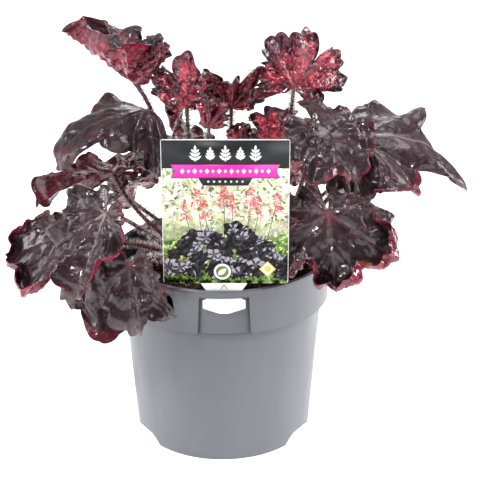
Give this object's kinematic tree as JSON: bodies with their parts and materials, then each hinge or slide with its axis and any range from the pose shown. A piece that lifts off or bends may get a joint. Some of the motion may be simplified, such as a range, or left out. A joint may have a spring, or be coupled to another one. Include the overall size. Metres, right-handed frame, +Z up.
{
  "type": "heuchera plant",
  "caption": "Potted heuchera with dark ruffled lobed leaves on hairy stalks, in a round step-walled nursery pot with a blank picture label in its rim.",
  "frame": {"origin": "on the ground, at the middle of the whole plant's bounding box; the pot's own axis stands 5 mm to -X and 12.8 mm to -Y of it", "axes": "+Z up; -Y is the front, where the label faces; +X is to the right when seen from the front"},
  "size_m": [0.3618, 0.2336, 0.3307],
  "materials": {
    "pot": "satin bluish grey moulded plastic",
    "soil": "damp dark compost with bark",
    "crown": "rough brown crown with old leaf bases",
    "label": "white printed card-like plastic",
    "leaf_mature": "dark purple-black, crinkled, soft gloss, crimson underneath",
    "leaf_young": "crimson, strongly crinkled, glossy"
  },
  "bodies": {
    "root": {"pot": "pot", "soil": "soil", "crown": "crown", "label": "label", "leaf_a": "leaf_mature", "young_b": "leaf_young", "bud_b": "leaf_young", "young_c": "leaf_young", "young_d": "leaf_young", "bud_e": "leaf_young", "bud_g": "leaf_young", "young_f": "leaf_young", "leaf_g": "leaf_mature", "leaf_h": "leaf_mature", "leaf_i": "leaf_mature", "leaf_j": "leaf_mature", "leaf_k": "leaf_mature", "leaf_l": "leaf_mature", "leaf_m": "leaf_mature", "leaf_n": "leaf_mature", "leaf_o": "leaf_mature", "bud_p": "leaf_young", "leaf_q": "leaf_mature", "leaf_r": "leaf_mature", "leaf_s": "leaf_mature", "leaf_t": "leaf_mature", "leaf_u": "leaf_mature", "leaf_w": "leaf_mature", "leaf_v": "leaf_mature"}
  },
  "joints": []
}
